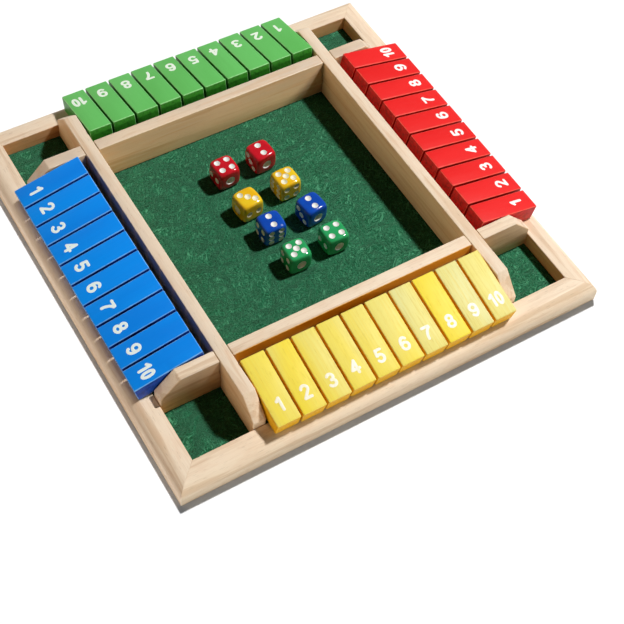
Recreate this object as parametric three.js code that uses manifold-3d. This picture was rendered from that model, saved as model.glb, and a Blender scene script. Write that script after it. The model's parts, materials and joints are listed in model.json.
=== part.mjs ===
import * as THREE from "three";
import { mergeVertices } from "three/addons/utils/BufferGeometryUtils.js";
import { RoundedBoxGeometry } from "three/addons/geometries/RoundedBoxGeometry.js";
import Module from "manifold-3d";

// Shut the box game for four players: a square wooden tray with a felt floor, a grid of four lapped
// divider boards, ten hinged number tiles along each side and eight loose dice.
// Millimetres, +Z up. The origin is the middle of the tray's underside, and the yellow row is at -Y.

// Clearances
const joint_gap = 0.3; // between two pieces that meet or turn in each other
const swing_gap = 0.45; // between a turning tile's inner end and the divider beside it
const overrun = 2; // how far a cutting shape runs past what it cuts
const weld_distance = 0.001; // vertices nearer than this are one vertex

// Tray frame: four mitred rails in one glued ring, with a rebate underneath for the base
const tray_side = 300;
const rail_width = 16;
const rail_height = 16;
const rail_round = 8; // quarter round along the outer top edge
const rail_ease = 0.6; // small flat along the inner top edge
const foot_ease = 1; // small flat along the outer bottom edge
const rebate_width = 4;
const base_thickness = 3;
const base_inset = 1.2; // the base's underside above the rails' underside
const felt_thickness = 1;

// Divider boards
const well_depth = 39.7; // from a divider to the rail that it runs beside
const divider_thickness = 8.7;
const divider_height = 29;
const divider_chamfer = 13.5; // the sloped upper corner at each end
const divider_ease = 0.5;

// Rods that the tiles turn on
const rod_radius = 1.5;
const rod_seat_depth = 5; // blind hole in the divider at each end
const rod_drop = 6.1; // rod axis below the dividers' top

// Number tiles
const tiles_per_row = 10;
const tile_length = 46.3;
const tile_thickness = 12;
const tile_gap = 1.3; // between neighbours
const row_end_gap = 0.7; // between a row's end tile and the divider that it stops at
const tile_ease = 0.8;
const pivot_inset = 5.5; // rod axis from the tile's inner end
const pivot_rise = 4.2; // rod axis above the tile's underside

// Dice
const die_side = 16;
const die_ease = 1; // rounding of the edges
const corner_reach = 12; // from the die's middle to its rounded corners
const pip_radius = 2.1;
const pip_depth = 0.8;
const ace_radius = 3.3; // the single large pip
const ace_depth = 1.5;
const pip_pitch = 7.35;
const six_pitch = 4.6; // between the three rows of the six
const opposite_faces_sum = 7;

// Facets and turns
const round_sides = 12;
const pip_sides = 6;
const arc_steps = 6;
const ease_steps = 1;
const die_ease_steps = 2;
const corner_detail = 3;
const quarter_turn = Math.PI / 2;

// Heights and half widths that follow from the sizes above
const outer_half = tray_side / 2;
const inner_half = outer_half - rail_width;
const play_half = inner_half - well_depth - divider_thickness; // of the square that the dice roll in
const play_side = 2 * play_half;
const base_top = base_inset + base_thickness;
const rebate_top = base_top + joint_gap;
const felt_top = rebate_top + felt_thickness;
const divider_foot = felt_top + joint_gap;
const divider_top = divider_foot + divider_height;
const divider_middle = play_half + divider_thickness / 2;
const divider_outer = play_half + divider_thickness;
const board_half = inner_half - joint_gap;
const row_length = play_side - 2 * row_end_gap;
const tile_pitch = (row_length + tile_gap) / tiles_per_row;
const tile_width = tile_pitch - tile_gap;
const bore_radius = (rod_radius + joint_gap) / Math.cos(Math.PI / round_sides);

// The rod stands off the divider so that the tile's inner end clears it at every angle.
const swing_radius = Math.hypot(pivot_inset, tile_thickness - pivot_rise);
const pivot_out = divider_outer + swing_radius + swing_gap;
const pivot_height = divider_top - rod_drop;

// An open tile slopes until its lower outer edge lies on the rail.
const rest_reach = tile_length - pivot_inset - tile_ease;
const rest_fall = pivot_height - rail_height - joint_gap;
const tile_slope =
  Math.asin(rest_fall / Math.hypot(rest_reach, pivot_rise)) - Math.atan2(pivot_rise, rest_reach);

// Rows by the side they stand on, as quarter turns from the front row
const rows = [
  { side: "front", colour: "yellow", paint: 0xf2dc4e, turns: 0 },
  { side: "left", colour: "blue", paint: 0x0a7be0, turns: 3 },
  { side: "back", colour: "green", paint: 0x66bd5c, turns: 2 },
  { side: "right", colour: "red", paint: 0xe52528, turns: 1 },
];

// Where the dice lie, as shares of the play square's half width, with their turn in degrees and the
// numbers on their top, left and front faces
const dice = [
  { name: "die_red_a", paint: 0xc01428, place_shares: [-0.169, 0.537], yaw: 2, faces: [4, 2, 1] },
  { name: "die_red_b", paint: 0xc01428, place_shares: [0.158, 0.548], yaw: 4.5, faces: [2, 3, 1] },
  { name: "die_yellow_a", paint: 0xf2b51c, place_shares: [-0.168, 0.175], yaw: 5.7, faces: [3, 1, 2] },
  { name: "die_yellow_b", paint: 0xf2b51c, place_shares: [0.193, 0.217], yaw: 2.2, faces: [5, 6, 4] },
  { name: "die_blue_a", paint: 0x1238b8, place_shares: [-0.123, -0.106], yaw: -1.2, faces: [2, 4, 6] },
  { name: "die_blue_b", paint: 0x1238b8, place_shares: [0.236, -0.097], yaw: 7.5, faces: [2, 3, 1] },
  { name: "die_green_a", paint: 0x238c50, place_shares: [-0.091, -0.423], yaw: -1.5, faces: [5, 4, 1] },
  { name: "die_green_b", paint: 0x238c50, place_shares: [0.245, -0.409], yaw: -0.8, faces: [4, 2, 1] },
];

// Looks shared by several pieces
const rail_look = { color: 0xe8cfa6, roughness: 0.6 };
const base_look = { color: 0xd8bd92, roughness: 0.75 };
const felt_look = { color: 0x246442, roughness: 1 };
const rod_look = { color: 0xb8b8bc, roughness: 0.35, metalness: 1 };
const tile_roughness = 0.45;
const die_roughness = 0.15;

const wasm = await Module();
wasm.setup();

function solid_of(geometry) {
  const bare = geometry.clone();
  bare.deleteAttribute("normal");
  bare.deleteAttribute("uv");
  const welded = mergeVertices(bare, weld_distance);
  const vertProperties = welded.getAttribute("position").array;
  const triVerts = new Uint32Array(welded.index.array);
  return new wasm.Manifold(new wasm.Mesh({ numProp: 3, vertProperties, triVerts }));
}

function geometry_of(solid) {
  const mesh = solid.getMesh();
  const geometry = new THREE.BufferGeometry();
  geometry.setAttribute("position", new THREE.BufferAttribute(mesh.vertProperties, 3));
  geometry.setIndex(new THREE.BufferAttribute(mesh.triVerts, 1));
  geometry.computeVertexNormals();
  return geometry;
}

function cut(geometry, tools) {
  const left = tools.reduce((solid, tool) => solid.subtract(solid_of(tool)), solid_of(geometry));
  return geometry_of(left);
}

function named_mesh(name, geometry, look) {
  const mesh = new THREE.Mesh(geometry, new THREE.MeshStandardMaterial(look));
  mesh.name = name;
  return mesh;
}

// A square slab centred on the axis, standing on the height given
function slab(side, thickness, height) {
  return new THREE.BoxGeometry(side, side, thickness).translate(0, 0, height + thickness / 2);
}

// The rail's section goes round a square, which is a lathe of four steps.
function frame_geometry() {
  const section = new THREE.Path();
  section.moveTo(outer_half, foot_ease);
  section.lineTo(outer_half, rail_height - rail_round);
  section.absarc(outer_half - rail_round, rail_height - rail_round, rail_round, 0, quarter_turn);
  section.lineTo(inner_half + rail_ease, rail_height);
  section.lineTo(inner_half, rail_height - rail_ease);
  section.lineTo(inner_half, rebate_top);
  section.lineTo(inner_half + rebate_width, rebate_top);
  section.lineTo(inner_half + rebate_width, 0);
  section.lineTo(outer_half - foot_ease, 0);
  section.closePath();
  const ring = section.getPoints(arc_steps).map((p) => new THREE.Vector2(p.x * Math.SQRT2, p.y));
  return new THREE.LatheGeometry(ring, rows.length, quarter_turn / 2).rotateX(quarter_turn);
}

// A divider board along X, its inner face towards +Y, with a halving slot near each end. The front
// and back boards are slotted from above, and the left and right boards from below.
function divider_geometry(slotted_from_above) {
  const slot_half = divider_thickness / 2 + joint_gap;
  const half_depth = divider_foot + divider_height / 2;
  const slot_floor = half_depth + (slotted_from_above ? -joint_gap : joint_gap) / 2;
  const slot_mouth = slotted_from_above ? divider_top : divider_foot;
  const slots = [-1, 1].map((end) => [
    [end * divider_middle - slot_half, slot_mouth],
    [end * divider_middle - slot_half, slot_floor],
    [end * divider_middle + slot_half, slot_floor],
    [end * divider_middle + slot_half, slot_mouth],
  ]);
  const below = slotted_from_above ? [] : slots.flat();
  const above = slotted_from_above ? slots.flat().reverse() : [];
  const outline = [
    [-board_half, divider_foot],
    ...below,
    [board_half, divider_foot],
    [board_half, divider_top - divider_chamfer],
    [board_half - divider_chamfer, divider_top],
    ...above,
    [divider_chamfer - board_half, divider_top],
    [-board_half, divider_top - divider_chamfer],
  ];
  const board = new THREE.ExtrudeGeometry(new THREE.Shape(outline.map((p) => new THREE.Vector2(...p))), {
    depth: divider_thickness - 2 * divider_ease,
    bevelThickness: divider_ease,
    bevelSize: divider_ease,
    bevelOffset: -divider_ease,
    bevelSegments: ease_steps,
  });
  board.translate(0, 0, divider_ease - divider_thickness / 2).rotateX(quarter_turn);
  const hole_length = rod_seat_depth + overrun;
  const hole = new THREE.CylinderGeometry(bore_radius, bore_radius, hole_length, round_sides);
  const hole_middle = divider_thickness / 2 - rod_seat_depth + hole_length / 2;
  const seats = [-1, 1].map((end) => hole.clone().translate(end * pivot_out, hole_middle, pivot_height));
  return cut(board, seats);
}

// A rod along X, long enough to reach into both dividers
function rod_geometry() {
  const length = play_side + 2 * (rod_seat_depth - joint_gap);
  return new THREE.CylinderGeometry(rod_radius, rod_radius, length, round_sides).rotateZ(quarter_turn);
}

// A tile with the rod's axis as its origin, its outer end towards -Y and its numbered face up
function tile_geometry() {
  const inner = -pivot_inset;
  const outer = tile_length - pivot_inset;
  const under = -pivot_rise;
  const face = tile_thickness - pivot_rise;
  const side = new THREE.Shape();
  side.moveTo(inner + tile_ease, under);
  side.lineTo(outer - tile_ease, under);
  side.lineTo(outer, under + tile_ease);
  side.lineTo(outer, face - tile_ease);
  side.lineTo(outer - tile_ease, face);
  side.lineTo(inner + tile_ease, face);
  side.lineTo(inner, face - tile_ease);
  side.lineTo(inner, under + tile_ease);
  side.closePath();
  const body = new THREE.ExtrudeGeometry(side, {
    depth: tile_width - 2 * tile_ease,
    bevelThickness: tile_ease,
    bevelSize: tile_ease,
    bevelOffset: -tile_ease,
    bevelSegments: ease_steps,
  });
  body.translate(0, 0, tile_ease - tile_width / 2);
  const bore_length = tile_width + 2 * overrun;
  const bore = new THREE.CylinderGeometry(bore_radius, bore_radius, bore_length, round_sides);
  bore.rotateX(quarter_turn);
  const outward = new THREE.Vector3(0, -1, 0);
  const up = new THREE.Vector3(0, 0, 1);
  const across = new THREE.Vector3().crossVectors(outward, up);
  return cut(body, [bore]).applyMatrix4(new THREE.Matrix4().makeBasis(outward, up, across));
}

// The places of a number's pips on its face, along the face's two axes
function pip_places(number, lean) {
  const reach = pip_pitch / 2;
  const corners = [-1, 1].flatMap((a) => [-1, 1].map((b) => [a * reach, b * reach]));
  const middle = [[0, 0]];
  if (number === 1) return middle;
  if (number === 2) return [[-reach, 0], [reach, 0]];
  if (number === 3) return [[-reach, -lean * reach], [0, 0], [reach, lean * reach]];
  if (number === 4) return corners;
  if (number === 5) return corners.concat(middle);
  return [-1, 1].flatMap((a) => [-1, 0, 1].map((b) => [a * reach, b * six_pitch]));
}

// A pip is a shallow drilled cone. The cutting cone's wide end stands clear of the face.
function pip_cutter(radius, depth) {
  const length = depth + overrun;
  const wide = (radius * length) / depth;
  return new THREE.ConeGeometry(wide, length, pip_sides).translate(0, depth - length / 2, 0);
}

function die_geometry(faces) {
  const [top, left, front] = faces;
  const opposite = (number) => opposite_faces_sum - number;
  const x = new THREE.Vector3(1, 0, 0);
  const y = new THREE.Vector3(0, 1, 0);
  const z = new THREE.Vector3(0, 0, 1);
  const sides = [
    { number: top, normal: z, a: y, lean: 1 },
    { number: opposite(top), normal: z.clone().negate(), a: y, lean: 1 },
    { number: left, normal: x.clone().negate(), a: y, lean: -1 },
    { number: opposite(left), normal: x, a: y, lean: 1 },
    { number: front, normal: y.clone().negate(), a: x, lean: 1 },
    { number: opposite(front), normal: y, a: x, lean: -1 },
  ];
  const cutters = [];
  for (const { number, normal, a, lean } of sides) {
    const inward = normal.clone().negate();
    const b = new THREE.Vector3().crossVectors(a, inward);
    const place = new THREE.Matrix4().makeBasis(a, inward, b);
    place.setPosition(normal.clone().multiplyScalar(die_side / 2));
    const [radius, depth] = number === 1 ? [ace_radius, ace_depth] : [pip_radius, pip_depth];
    for (const [along, across] of pip_places(number, lean)) {
      cutters.push(pip_cutter(radius, depth).translate(along, 0, across).applyMatrix4(place));
    }
  }
  const cube = new RoundedBoxGeometry(die_side, die_side, die_side, die_ease_steps, die_ease);
  const ball = new THREE.IcosahedronGeometry(corner_reach, corner_detail);
  return cut(geometry_of(solid_of(cube).intersect(solid_of(ball))), cutters);
}

const game = new THREE.Group();
const base_side = 2 * (inner_half + rebate_width - joint_gap);
game.add(named_mesh("rail_frame", frame_geometry(), rail_look));
game.add(named_mesh("base_board", slab(base_side, base_thickness, base_inset), base_look));
game.add(named_mesh("felt_lining", slab(2 * board_half, felt_thickness, rebate_top), felt_look));

for (const { side, colour, paint, turns } of rows) {
  const row = new THREE.Group();
  row.rotation.z = turns * quarter_turn;
  game.add(row);

  const slotted_from_above = side === "front" || side === "back";
  const divider = named_mesh(`${side}_divider`, divider_geometry(slotted_from_above), rail_look);
  divider.position.y = -divider_middle;
  const rod = named_mesh(`${side}_rod`, rod_geometry(), rod_look);
  rod.position.set(0, -pivot_out, pivot_height);
  row.add(divider, rod);

  const tile = tile_geometry();
  const tile_look = { color: paint, roughness: tile_roughness };
  for (let number = 1; number <= tiles_per_row; number++) {
    const mesh = named_mesh(`tile_${colour}_${number}`, tile.clone(), tile_look);
    mesh.position.set((number - (tiles_per_row + 1) / 2) * tile_pitch, -pivot_out, pivot_height);
    mesh.rotation.x = tile_slope;
    row.add(mesh);
  }
}

for (const { name, paint, place_shares, yaw, faces } of dice) {
  const die = named_mesh(name, die_geometry(faces), { color: paint, roughness: die_roughness });
  const [x, y] = place_shares.map((share) => share * play_half);
  die.position.set(x, y, felt_top + joint_gap + die_side / 2);
  die.rotation.z = THREE.MathUtils.degToRad(yaw);
  game.add(die);
}

export default game;
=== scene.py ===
import json
import math

import bmesh
import bpy
import numpy as np
from mathutils import Euler, Matrix, Vector, noise


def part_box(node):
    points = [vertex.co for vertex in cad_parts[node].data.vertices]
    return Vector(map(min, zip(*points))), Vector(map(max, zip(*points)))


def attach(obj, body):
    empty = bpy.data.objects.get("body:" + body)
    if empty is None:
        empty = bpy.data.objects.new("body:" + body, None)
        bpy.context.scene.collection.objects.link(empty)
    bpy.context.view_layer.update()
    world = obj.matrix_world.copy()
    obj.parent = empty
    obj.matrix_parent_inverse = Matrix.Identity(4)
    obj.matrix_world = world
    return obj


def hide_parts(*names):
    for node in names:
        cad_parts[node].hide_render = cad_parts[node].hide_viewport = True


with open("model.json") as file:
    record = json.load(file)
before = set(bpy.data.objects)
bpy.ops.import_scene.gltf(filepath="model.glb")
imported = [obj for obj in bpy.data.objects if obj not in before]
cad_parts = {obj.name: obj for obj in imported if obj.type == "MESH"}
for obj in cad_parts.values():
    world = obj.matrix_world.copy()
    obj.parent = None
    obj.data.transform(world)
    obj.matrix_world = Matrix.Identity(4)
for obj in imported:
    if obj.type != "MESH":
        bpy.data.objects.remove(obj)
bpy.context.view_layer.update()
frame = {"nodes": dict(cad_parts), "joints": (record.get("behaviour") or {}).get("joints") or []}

# Shut the box game, in metres: +X right, +Y back, +Z up, with the yellow row in front.
# Small sizes below are in millimetres and are turned into metres by MM.
MM = 0.001
QUARTER = math.pi / 2

# Rows by side: colour and quarter turns from the front row
ROWS = [("front", "yellow", 0), ("left", "blue", 3), ("back", "green", 2), ("right", "red", 1)]
TILES_PER_ROW = 10

# Numbers on each die's top, left and front faces
DIE_FACES = {
    "die_red_a": (4, 2, 1),
    "die_red_b": (2, 3, 1),
    "die_yellow_a": (3, 1, 2),
    "die_yellow_b": (5, 6, 4),
    "die_blue_a": (2, 4, 6),
    "die_blue_b": (2, 3, 1),
    "die_green_a": (5, 4, 1),
    "die_green_b": (4, 2, 1),
}

# The camera, as fitted to the photo: lens and sensor in mm, turn in degrees
CAMERA_LENS = 72.96
SENSOR_WIDTH = 36
CAMERA_PLACE = (-0.28251, -0.43697, 0.65896)
CAMERA_TURN = (34.367, -3.499, -30.997)

# Edges and clearances, in mm. The outline of a rail's mitred end is drawn in by a share of its ease.
RAIL_INNER_EASE = 0.7
RAIL_FOOT_EASE = 1.0
MITRE_GAP = 0.03
MITRE_EASE = 0.22
MITRE_EASE_SHARE = 0.6
DIVIDER_EASE = 0.7
BASE_EASE = 0.3
TILE_EASE = 0.8
ROD_EASE = 0.35
CLEARANCE = 0.3

# In mm: how near CAD points count as level, and how near its end a divider's shoulder lies
SAME_PLACE = 0.01
SHOULDER_BAND = 0.6

# Most that a tile is cut short, narrow at each side and thin, in mm
TILE_TRIM = (0.35, 0.12, 0.1)

# The felt's nap, in mm: its depth below the CAD top, and its waves per mm with their heights
FELT_CELLS = 220
FELT_NAP = 0.16
FELT_WAVES = ((0.9, 0.09), (0.11, 0.06))

# Numbers painted on the tiles, in mm, with the stroke and the gap as shares of the height
DIGIT_HEIGHT = 9.6
DIGIT_STROKE_SHARE = 0.2
DIGIT_GAP_SHARE = 0.07
DIGIT_FROM_END = 12.2
DIGIT_SLIP = 0.5
DIGIT_CELL = 0.2
DIGIT_RELIEF = 0.09
DIGIT_SOFT_EDGE = 0.3
DIGIT_BACK = 0.05

# Dice, in mm: rounding power, reach of the rounded corners, pips and the deep single pip
DIE_POWER = 11
DIE_CORNER_REACH = 12.3
DIE_CELLS = 26
PIP_RADIUS = 2.2
PIP_DEPTH = 0.75
ACE_RADIUS = 3.3
ACE_DEPTH = 1.9
PIP_REACH = 3.67
SIX_PITCH = 4.6

# Seeds of each kind of piece, to which its own index is added
DIVIDER_SEED, ROD_SEED, BASE_SEED, FELT_SEED, TILE_SEED, DIE_SEED = 20, 40, 50, 60, 100, 200

# How pale the stain came out on each yellow tile, and how pale each board is
YELLOW_PALENESS = (0.28, 0.28, 0.3, 0.45, 0.4, 0.25, 0.9, 0.22, 0.92, 0.72)
BOARD_PALENESS = {"left_divider": 0.6, "back_divider": 0.1, "right_divider": 0.65, "right_rail": 0.9,
                  "back_rail": 0.85}

# Wood between its rings and in them, and its tints by growth and place
WOOD_LIGHT = (0.955, 0.8, 0.63)
WOOD_DARK = (0.66, 0.44, 0.26)
BASE_LIGHT = (0.72, 0.55, 0.36)
BASE_DARK = (0.48, 0.32, 0.18)
PORE_TINT = (0.5, 0.5, 0.5)
DULL_TINT = (0.68, 0.67, 0.68)
COOL_TINT = (0.96, 0.93, 0.89)
RED_TINT = (0.88, 0.74, 0.66)
# Painted shade on a board's broad side faces and on a rail's inner face, edges lightened by wear and painted
# highlight, and painted yellow bounce light and shade on the front divider
SIDE_SHADE_TINT = (0.97, 0.85, 0.68)
INNER_RAIL_SHADE_TINT = (0.95, 0.68, 0.44)
WORN_AND_HIGHLIT_WOOD = (0.98, 0.91, 0.8)
PAINTED_YELLOW_BOUNCE = (0.97, 0.5, 0.03)

# Range of the spots in the wood that pieces are cut from, in mm
WOOD_SPOTS = ((-400, 24, 14), (400, 60, 44))

# Paint on the tiles: tops, where it lies deeper, sides darkened as painted shade, edges lightened by wear
# and painted highlight, and how much the grain shows
TILE_PAINTS = {
    "blue": ((0.001, 0.288, 1.0), (0.002, 0.235, 0.9), (0.004, 0.072, 0.52), (0.24, 0.56, 1.0), 0.2),
    "green": ((0.15, 0.575, 0.145), (0.125, 0.51, 0.115), (0.035, 0.27, 0.02), (0.36, 0.78, 0.33), 0.25),
    "red": ((0.85, 0.02, 0.02), (0.79, 0.015, 0.015), (0.6, 0.003, 0.004), (1.0, 0.16, 0.11), 0.15),
}
BLOTCH_TINT = (0.55, 0.55, 0.55)

# The yellow stain: deep and pale tops, streaks, rings, pores, sides in two tones darkened as painted shade,
# and edges lightened by wear and painted highlight
YELLOW_DEEP = (0.95, 0.77, 0.04)
YELLOW_PALE = (0.8, 0.765, 0.31)
YELLOW_STREAK = (0.72, 0.56, 0.1)
YELLOW_RING = (0.88, 0.62, 0.03)
YELLOW_PORE = (0.55, 0.4, 0.04)
YELLOW_SHADED_SIDES = ((0.93, 0.52, 0.006), (0.8, 0.38, 0.003))
YELLOW_WORN_AND_HIGHLIT = (0.99, 0.9, 0.4)

# Number paint by tile: full, where it is thin, and how much of it is full
NUMBER_PAINTS = {
    "yellow": ((0.93, 0.9, 0.76), (0.93, 0.84, 0.45), 0.4),
    "blue": ((0.88, 1.0, 1.0), (0.76, 0.92, 0.98), 0.75),
    "green": ((0.88, 1.0, 0.88), (0.76, 0.93, 0.76), 0.75),
    "red": ((0.96, 0.95, 0.94), (0.88, 0.84, 0.83), 0.75),
}

# Plastic of the dice in two close tones, and paint in the pips, full and thin
DICE_PLASTICS = {
    "red": ((0.7, 0.008, 0.022), (0.62, 0.005, 0.016)),
    "yellow": ((1.0, 0.68, 0.02), (1.0, 0.55, 0.006)),
    "blue": ((0.002, 0.085, 0.56), (0.002, 0.065, 0.48)),
    "green": ((0.032, 0.46, 0.15), (0.022, 0.39, 0.12)),
}
PIP_PAINTS = {
    "white": ((0.95, 0.94, 0.91), (0.84, 0.82, 0.78)),
    "cream": ((0.96, 0.92, 0.7), (0.92, 0.82, 0.5)),
}

# Felt: two ground tones, shade between the fibres, fuzz and loose strands. Then bare steel.
FELT_GROUND = ((0.015, 0.117, 0.053), (0.023, 0.157, 0.074))
FELT_SHADE = (0.004, 0.055, 0.02)
FELT_FUZZ = (0.045, 0.28, 0.14)
FELT_STRAND = (0.1, 0.41, 0.22)
STEEL_TONES = ((0.52, 0.52, 0.53), (0.4, 0.4, 0.41))

# Strands: direction in degrees, shift of their pattern in mm, and how much they show
FELT_STRANDS = ((42, 0, 0.9), (58, 31, 0.9), (72, 67, 0.7), (15, 93, 0.5), (-40, 120, 0.4))
STRAND_BEND = 25

# The key lamp: its place in metres, level, size in metres and colour
KEY = ((1.03, -0.073, 1.72), 3.13, 0.17, (1.0, 0.99, 0.97))

# Far lamps: where they stand, energy, softness in degrees and colour
FILLS = {
    "left_fill": ((-1.0, 0.1, 0.17), 0.82, 16, (1.0, 0.77, 0.54)),
    "front_fill": ((0.19, -1.0, 0.2), 0.8, 5, (1.0, 0.94, 0.74)),
    "back_fill": ((-0.15, 1.0, 0.3), 0.4, 40, (1.0, 0.88, 0.7)),
}
FLOOR_LAMP = ((0.62, 0.9, 2.25), 4.05, 5, (1.0, 1.0, 1.0))

# Light from all round, the surround in reflections, level and overhead, and the floor with its glow
AMBIENT = 0.008
AMBIENT_COLOUR = (1.0, 0.8, 0.56)
REFLECTED_LEVEL, REFLECTED_OVERHEAD = 0.35, 0.12
FLOOR_REACH = 4.0
FLOOR_GLOW = 0.1
FLOOR_GLOW_COLOUR = (0.7, 0.85, 1, 1)


def placed(name, data):
    """A new object in the scene, with this data"""
    thing = bpy.data.objects.new(name, data)
    bpy.context.scene.collection.objects.link(thing)
    return thing


def make_camera():
    """The camera at the photo's viewing angle"""
    data = bpy.data.cameras.new("camera")
    data.lens = CAMERA_LENS
    data.sensor_width = SENSOR_WIDTH
    data.clip_start = 0.05
    data.clip_end = 20
    camera = placed("camera", data)
    camera.location = CAMERA_PLACE
    camera.rotation_euler = Euler([math.radians(angle) for angle in CAMERA_TURN], "XYZ")
    bpy.context.scene.camera = camera


# Node materials. Patterns have their waves per mm along x, y and z.

class Graph:
    """A node tree whose nodes are added by short calls"""

    def __init__(self, owner):
        owner.use_nodes = True
        self.tree = owner.node_tree

    def node(self, kind, *values, **settings):
        made = self.tree.nodes.new(kind)
        for key, value in settings.items():
            setattr(made, key, value)
        for socket, value in zip(made.inputs, values):
            self.feed(socket, value)
        return made

    def feed(self, socket, value):
        if isinstance(value, bpy.types.NodeSocket):
            self.tree.links.new(value, socket)
        else:
            socket.default_value = value

    def attribute(self, name, output="Vector"):
        return self.node("ShaderNodeAttribute", attribute_name=name).outputs[output]

    def math(self, operation, *values, clamp=False):
        return self.node("ShaderNodeMath", *values, operation=operation, use_clamp=clamp).outputs[0]

    def vector(self, operation, *values, output="Vector"):
        return self.node("ShaderNodeVectorMath", *values, operation=operation).outputs[output]

    def times(self, first, second):
        return self.math("MULTIPLY", first, second)

    def scaled(self, vector, factors):
        return self.vector("MULTIPLY", vector, factors)

    def parts(self, vector):
        return tuple(self.node("ShaderNodeSeparateXYZ", vector).outputs)

    def noise(self, vector, detail=3.0, roughness=0.5):
        made = self.node("ShaderNodeTexNoise")
        self.feed(made.inputs["Vector"], vector)
        made.inputs["Scale"].default_value = 1.0
        made.inputs["Detail"].default_value = detail
        made.inputs["Roughness"].default_value = roughness
        return made.outputs[0]

    def span(self, *numbers):
        """Eases a value between two numbers to one between 0 and 1, or between two more numbers"""
        return self.node("ShaderNodeMapRange", *numbers, interpolation_type="SMOOTHSTEP").outputs[0]

    def mix(self, factor, first, second, blend="MIX"):
        made = self.node("ShaderNodeMix", data_type="RGBA", blend_type=blend)
        self.feed(made.inputs[0], factor)
        for socket, colour in ((made.inputs[6], first), (made.inputs[7], second)):
            self.feed(socket, (*colour, 1) if isinstance(colour, tuple) else colour)
        return made.outputs[2]

    def layers(self, colour, *layers):
        """A colour with others laid over it in turn, each given as its cover and itself"""
        for cover, laid in layers:
            colour = self.mix(cover, colour, laid)
        return colour


class Look(Graph):
    """A material built round one Principled shader"""

    def __init__(self, name):
        self.material = bpy.data.materials.new(name)
        super().__init__(self.material)
        self.surface = self.tree.nodes["Principled BSDF"]

    def shader(self, **values):
        for key, value in values.items():
            self.feed(self.surface.inputs[key.replace("_", " ")], value)

    def bump(self, height, distance_mm):
        made = self.node("ShaderNodeBump")
        made.inputs["Distance"].default_value = distance_mm * MM
        self.feed(made.inputs["Height"], height)
        self.feed(self.surface.inputs["Normal"], made.outputs[0])

    def finished(self, colour, pattern, low, high, specular=0.5):
        """Sets the colour and a roughness that follows a pattern, and returns the material"""
        roughness = self.span(pattern, 0.3, 0.7, low, high)
        self.shader(Base_Color=colour, Roughness=roughness, Specular_IOR_Level=specular)
        return self.material

    def pattern(self, name, waves, **settings):
        """Noise over a piece, in the coordinates that its points carry under this name"""
        return self.noise(self.scaled(self.attribute(name), waves), **settings)


def tinted(colour, factors):
    """A colour with each channel multiplied by its factor"""
    return tuple(channel * factor for channel, factor in zip(colour, factors))


def board_grain(look, ring_gap=4.6):
    """Late rings, fibres, pores and tone of a sawn board, from its own place in mm with x along it"""
    wander = look.pattern("grain", (0.007, 0.06, 0.06))
    radius = look.vector("LENGTH", look.scaled(look.attribute("grain"), (0.0, 1.0, 1.0)), output="Value")
    turns = look.math("ADD", look.math("DIVIDE", radius, ring_gap), look.times(wander, 5.0))
    phase = look.math("FRACT", turns)
    ring = look.times(look.span(phase, 0.2, 0.85), look.span(phase, 1.0, 0.88))
    fade = look.pattern("grain", (0.016, 0.09, 0.09), detail=1)
    late = look.times(ring, look.span(fade, 0.35, 0.65, 0.15, 1.0))
    fibres = look.pattern("grain", (0.05, 1.2, 1.2), detail=4, roughness=0.65)
    pores = look.span(look.pattern("grain", (0.16, 2.9, 2.9), detail=1), 0.66, 0.76)
    tone = look.pattern("grain", (0.009, 0.035, 0.035), detail=2)
    return late, fibres, pores, tone


def depths(look, half_sizes):
    """How far a spot on a block lies in from its y faces, from its z faces and from its nearest edge, in mm.
    The last is the second smallest of the three distances to the faces."""
    off_centre = look.vector("ABSOLUTE", look.attribute("local"))
    x, y, z = look.parts(look.vector("SUBTRACT", half_sizes, off_centre))
    smaller = look.math("MINIMUM", x, y)
    edge = look.math("MAXIMUM", smaller, look.math("MINIMUM", look.math("MAXIMUM", x, y), z))
    return y, z, edge


def edge_wear(look, edge, depth, strength):
    """How much of the edge is lighter, by wear and painted highlight, ragged along its length, from the
    distance to the edge in mm
    """
    ragged = look.pattern("grain", (0.3, 0.6, 0.6))
    reach = look.math("SUBTRACT", edge, look.times(ragged, depth))
    return look.span(reach, depth * 0.7, depth * -0.1, 0.0, strength)


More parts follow.
